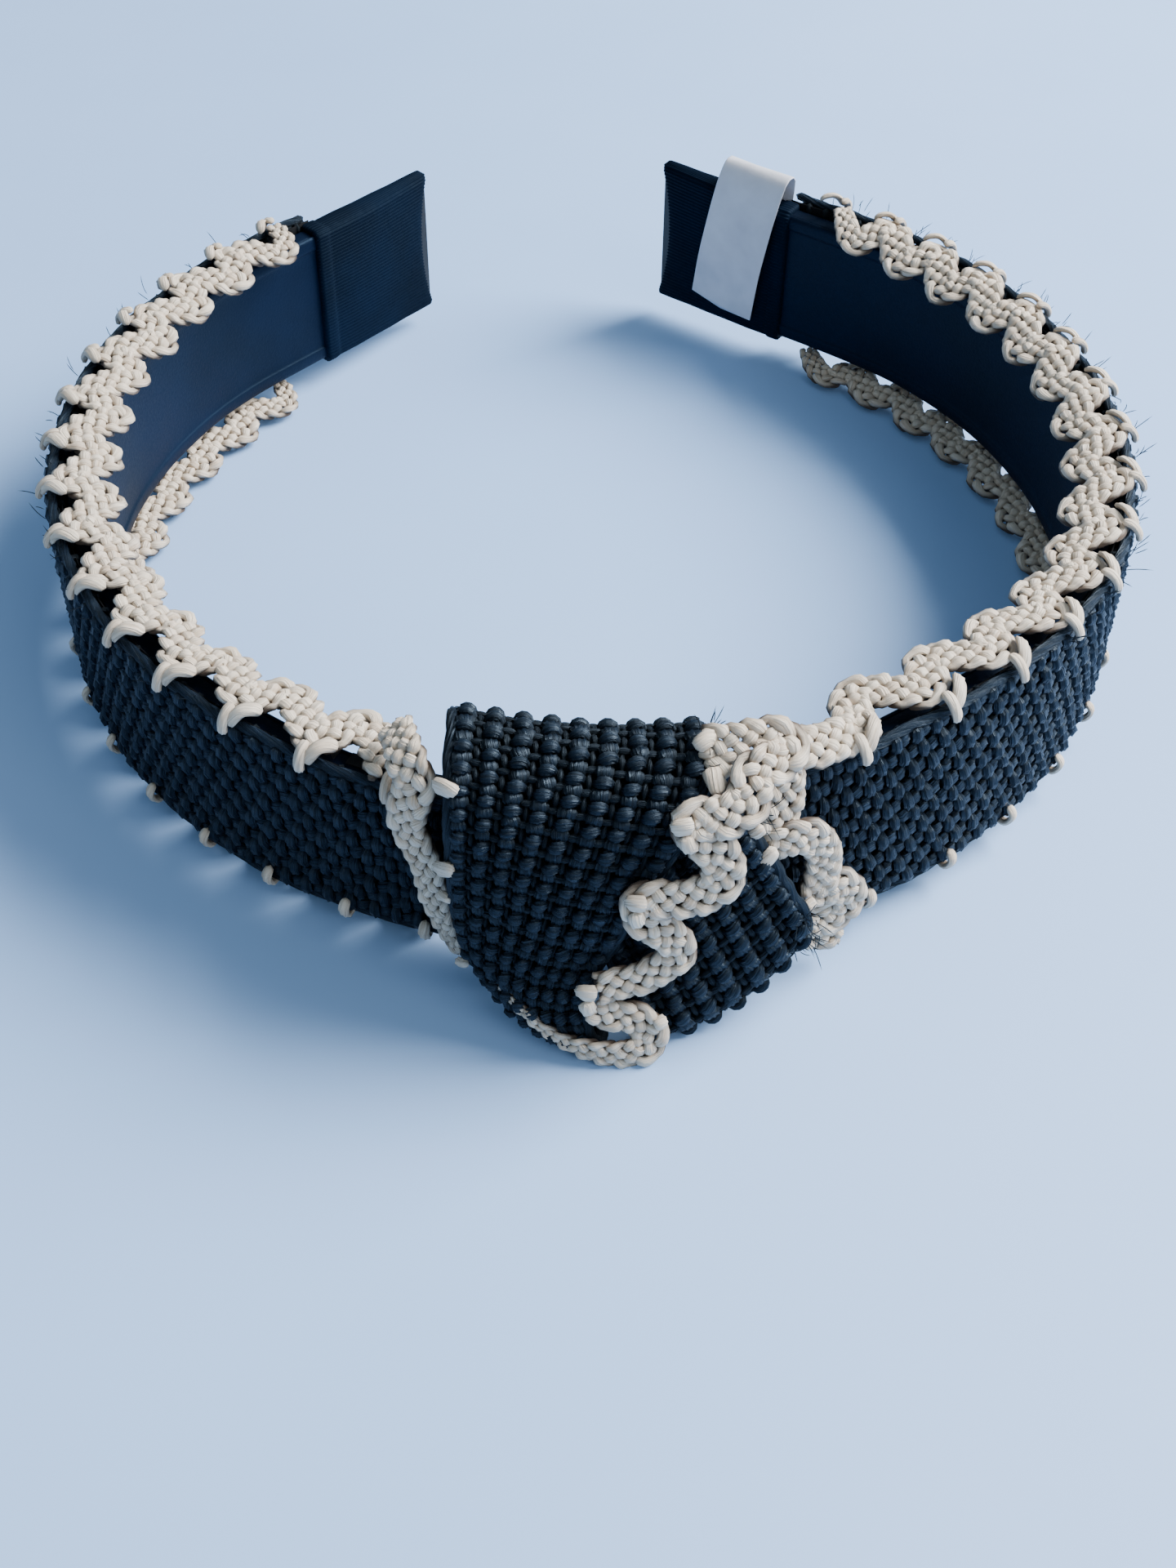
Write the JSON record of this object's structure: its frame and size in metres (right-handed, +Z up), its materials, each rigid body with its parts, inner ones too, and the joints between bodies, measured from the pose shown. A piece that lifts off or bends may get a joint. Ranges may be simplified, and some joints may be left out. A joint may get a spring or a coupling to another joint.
{
  "type": "knotted headband",
  "caption": "Flexible C-shaped alice band covered in coarse woven black braid, with plaited cream zigzag edging and a wrapped knot at the front.",
  "frame": {"origin": "on the surface that the hoop lies on, under the middle of the overall outline; the hoop's own centre is 5.3 mm behind it", "axes": "+Z up from the surface along the band's width, -Y towards the knot, +Y towards the gap between the tips, +X to the right of someone who faces the knot"},
  "size_m": [0.141, 0.1584, 0.034],
  "materials": {
    "woven_raffia": "coarse plain-woven glossy black strands with a faint blue sheen",
    "plaited_trim": "warm cream plaited cord, satin sheen",
    "black_satin": "smooth black satin cloth",
    "ribbed_ribbon": "black grosgrain ribbon with fine ribs along the band",
    "core_plastic": "springy black plastic strip",
    "paper_sticker": "blank matte grey-white paper"
  },
  "bodies": {
    "crown": {"hoop_core_centre": "core_plastic", "satin_sleeve_centre": "black_satin", "lining_centre": "black_satin", "braid_left_root": "woven_raffia", "top_trim_left_root": "plaited_trim", "lower_trim_left_root": "plaited_trim", "braid_right_root": "woven_raffia", "top_trim_right_root": "plaited_trim", "lower_trim_right_root": "plaited_trim", "knot_front_wrap": "woven_raffia", "knot_lower_wrap": "woven_raffia", "knot_inner_pass": "woven_raffia", "knot_trim_left": "plaited_trim", "knot_trim_right": "plaited_trim", "knot_trim_diagonal": "plaited_trim", "knot_trim_tip": "plaited_trim"},
    "left_arm": {"hoop_core_left": "core_plastic", "satin_sleeve_left": "black_satin", "lining_left": "black_satin", "braid_left": "woven_raffia", "top_trim_left": "plaited_trim", "lower_trim_left": "plaited_trim", "end_cap_left": "ribbed_ribbon"},
    "right_arm": {"hoop_core_right": "core_plastic", "satin_sleeve_right": "black_satin", "lining_right": "black_satin", "braid_right": "woven_raffia", "top_trim_right": "plaited_trim", "lower_trim_right": "plaited_trim", "end_cap_right": "ribbed_ribbon", "price_sticker": "paper_sticker"}
  },
  "joints": [
    {"name": "left_arm_flex", "type": "hinge", "parent": "crown", "child": "left_arm", "pos_m": [-0.03525, -0.05575, 0.0152], "axis": [0, 0, 1], "range_deg": [-4, 16], "stiffness_Nm_per_rad": 0.8},
    {"name": "right_arm_flex", "type": "hinge", "parent": "crown", "child": "right_arm", "pos_m": [0.03525, -0.05575, 0.0152], "axis": [0, 0, -1], "range_deg": [-4, 16], "stiffness_Nm_per_rad": 0.8}
  ]
}
